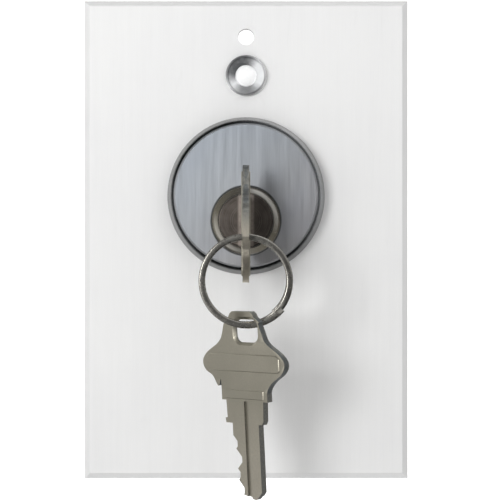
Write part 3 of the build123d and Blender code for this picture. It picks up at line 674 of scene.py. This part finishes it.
def split_ring():
    low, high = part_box("key_ring")
    centre = (low + high) / 2
    middle_radius = (high.x - low.x) / 2 - RING_WIDTH / 2 - RING_INSET
    coil_step = (high.y - low.y) / 2
    profile = wire_profile(RING_WIDTH, coil_step - COIL_GAP)
    bm = bmesh.new()
    sections = []
    for i in range(RING_STEPS + 1):
        t = i / RING_STEPS
        angle = RING_START - RING_TURNS * 2 * math.pi * t
        # the two coils lie flat and cross over in a short ramp half way
        ramp = min(1.0, max(0.0, (t - CROSSOVER[0]) / CROSSOVER[1]))
        y = centre.y + (-0.5 + ramp * ramp * (3 - 2 * ramp)) * coil_step
        # both ends are ground to a thin wedge and spring away a little
        from_end = min(t, 1 - t)
        squeeze = END_THICKNESS + (1 - END_THICKNESS) * min(1.0, from_end / GROUND_SHARE)
        spring = max(0.0, 1.0 - from_end / SPRUNG_SHARE) ** 1.6
        spring *= FIRST_SPRING if t < 0.5 else LAST_SPRING
        section = []
        for radial, axial in profile:
            radius = middle_radius + radial + spring
            section.append(bm.verts.new((centre.x + radius * math.cos(angle),
                                         y + axial * squeeze,
                                         centre.z + radius * math.sin(angle))))
        sections.append(section)
    count = len(profile)
    for here, there in zip(sections, sections[1:]):
        for k in range(count):
            after = (k + 1) % count
            bm.faces.new((here[k], here[after], there[after], there[k]))
    bm.faces.new(list(reversed(sections[0])))
    bm.faces.new(sections[-1])
    bmesh.ops.recalc_face_normals(bm, faces=bm.faces)
    obj = mesh_object("split_ring", bm, MATERIALS["ring"])
    add_smoothing(obj)
    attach(obj, "ring")
    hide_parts("key_ring")


split_ring()

# ---------------------------------------------------------------------------
# stage: pale floor, soft studio world, area lights, camera
# ---------------------------------------------------------------------------
FLOOR_Z = CAD_BOX[0][2] - 0.045
FLOOR_HALF_WIDTH = 3.0
FLOOR_FRONT_Y = -2.2
SWEEP_START_Y = 0.45
SWEEP_RADIUS = 0.5
SWEEP_STEPS = 24
WALL_HEIGHT = 2.4


def floor_paper():
    s = Surface("floor_paper")
    cloud = s.noise(scale=40.0, detail=2.0)
    s.set(Base_Color=s.ramp(cloud, [(0.3, grey_level(0.93)), (0.7, grey_level(0.95))]),
          Roughness=0.9, Emission_Color=(1, 1, 1))
    # the sweep behind the object glows evenly, the floor in front hardly at all,
    # and the glow is weaker for lighting the object than for the camera
    rays = s.node("ShaderNodeLightPath").outputs
    seen = s.remap(rays["Is Camera Ray"], source=(0.0, 1.0), to=(0.42, 1.0))
    glow = s.remap(s.xyz()[1], source=(0.10, 0.42), to=(0.04, 1.05))
    s.set(Emission_Strength=s.multiply(glow, seen))
    # reflections in the metal see the world's panels, not the paper
    clear = s.node("ShaderNodeBsdfTransparent").outputs[0]
    shader = s.node("ShaderNodeMixShader",
                    {0: rays["Is Glossy Ray"], 1: s.bsdf.outputs[0], 2: clear}).outputs[0]
    s.feed(s.output.inputs["Surface"], shader)
    return s.material


def floor_sheet():
    """A wide sheet that curves up behind the object."""
    profile = [(FLOOR_FRONT_Y, FLOOR_Z), (SWEEP_START_Y, FLOOR_Z)]
    for k in range(1, SWEEP_STEPS + 1):
        angle = math.radians(90 * k / SWEEP_STEPS)
        profile.append((SWEEP_START_Y + SWEEP_RADIUS * math.sin(angle),
                        FLOOR_Z + SWEEP_RADIUS * (1 - math.cos(angle))))
    profile.append((SWEEP_START_Y + SWEEP_RADIUS, FLOOR_Z + WALL_HEIGHT))
    bm = bmesh.new()
    left, right = [[bm.verts.new((x, y, z)) for y, z in profile]
                   for x in (-FLOOR_HALF_WIDTH, FLOOR_HALF_WIDTH)]
    for i in range(len(profile) - 1):
        bm.faces.new((left[i], right[i], right[i + 1], left[i + 1]))
    obj = mesh_object("floor", bm)
    obj.data.materials.append(floor_paper())


floor_sheet()

# Studio panels. Columns: direction, cosine of the full core, cosine of the rim, amount
WORLD_LEVEL = 0.42
WORLD_STRENGTH = 0.72
BRIGHT_PANELS = [
    ((-1.0, -0.7, 0.10), 0.93, 0.70, 0.75),     # left
    ((-0.55, -0.75, -0.5), 0.96, 0.84, 0.7),    # lower left
    ((0.62, -0.75, 0.42), 0.97, 0.85, 0.75),    # upper right
]
DARK_PANELS = [
    ((0.0, -1.0, 0.0), 0.995, 0.965, 0.55),     # camera side
    ((-0.1, -0.72, 0.75), 0.97, 0.88, 0.80),    # top
    ((0.55, -0.75, -0.45), 0.95, 0.80, 0.85),   # lower right
    ((0.0, -0.72, -0.72), 0.96, 0.85, 0.80),    # below
]


def studio_world():
    world = bpy.data.worlds.new("studio")
    scene.world = world
    world.use_nodes = True
    w = Nodes(world.node_tree)
    w.tree.nodes.clear()
    x, y, z = w.split(w.node("ShaderNodeTexCoord").outputs["Generated"])

    def panel(direction, core, rim, amount):
        """amount towards a direction, falling smoothly to 0."""
        d = Vector(direction).normalized()
        cosine = w.add(w.weighted(x, d.x, y, d.y), w.multiply(z, d.z))
        lobe = w.remap(cosine, source=(rim, core), interpolation_type="SMOOTHSTEP")
        return w.multiply(lobe, amount)

    level = WORLD_LEVEL
    for row in BRIGHT_PANELS:
        level = w.add(level, panel(*row))
    for row in DARK_PANELS:
        level = w.multiply(level, w.subtract(1.0, panel(*row)))
    background = w.node("ShaderNodeBackground",
                        {"Color": w.grey(level), "Strength": WORLD_STRENGTH})
    w.node("ShaderNodeOutputWorld", {"Surface": background.outputs[0]})


studio_world()


def area_light(name, location, size, power):
    """Square light aimed at the origin."""
    data = bpy.data.lights.new(name, "AREA")
    data.energy = power
    data.size = size
    obj = bpy.data.objects.new(name, data)
    scene.collection.objects.link(obj)
    obj.location = location
    obj.rotation_euler = (-Vector(location)).to_track_quat("-Z", "Y").to_euler()


area_light("key_light", location=(-0.36, -0.70, 0.10), size=0.25, power=2.06)
area_light("fill_top", location=(0.25, -0.45, 0.75), size=0.7, power=1.25)

CAMERA_DISTANCE = 450 * MM      # from the front of the face plate
VIEW_HALF_WIDTH = 59.66587 * MM     # seen at that distance
CAMERA_X = 0.95 * MM
CAMERA_Z = -2.5 * MM


def add_camera():
    data = bpy.data.cameras.new("camera")
    camera = bpy.data.objects.new("camera", data)
    scene.collection.objects.link(camera)
    data.sensor_width = 36.0
    data.angle = 2 * math.atan(VIEW_HALF_WIDTH / CAMERA_DISTANCE)
    data.clip_start = 0.01
    data.clip_end = 20
    plate_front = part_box("face_plate")[0].y
    camera.location = (CAMERA_X, plate_front - CAMERA_DISTANCE, CAMERA_Z)
    camera.rotation_euler = (math.radians(90), 0, 0)
    scene.camera = camera


add_camera()

scene.view_settings.view_transform = "Standard"
scene.view_settings.look = "None"
scene.view_settings.exposure = 0.0
scene.view_settings.gamma = 1.0
